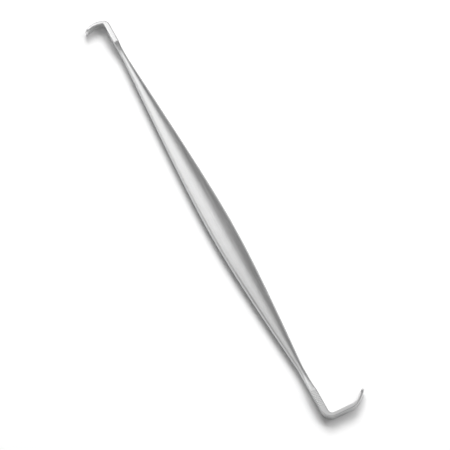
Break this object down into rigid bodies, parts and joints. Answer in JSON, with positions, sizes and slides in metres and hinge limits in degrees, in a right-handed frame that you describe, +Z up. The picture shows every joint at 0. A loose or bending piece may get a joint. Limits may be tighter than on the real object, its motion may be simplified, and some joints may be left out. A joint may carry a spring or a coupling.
{
  "type": "hand retractor",
  "caption": "Double-ended hand retractor: an oval, tapering steel handle with a short curved blade at one end and a deeper right-angled blade at the other, for holding tissue aside.",
  "frame": {"origin": "middle of the tool's bounding box in plan, on the surface that the tool lies on", "axes": "+X along the handle towards the deep blade, +Y the way the deep blade turns, +Z up from the surface that the tool lies on"},
  "size_m": [0.15, 0.0216, 0.005],
  "materials": {
    "steel": "satin ground stainless steel, brighter on the ground flats"
  },
  "bodies": {
    "root": {"retractor": "steel"}
  },
  "joints": []
}
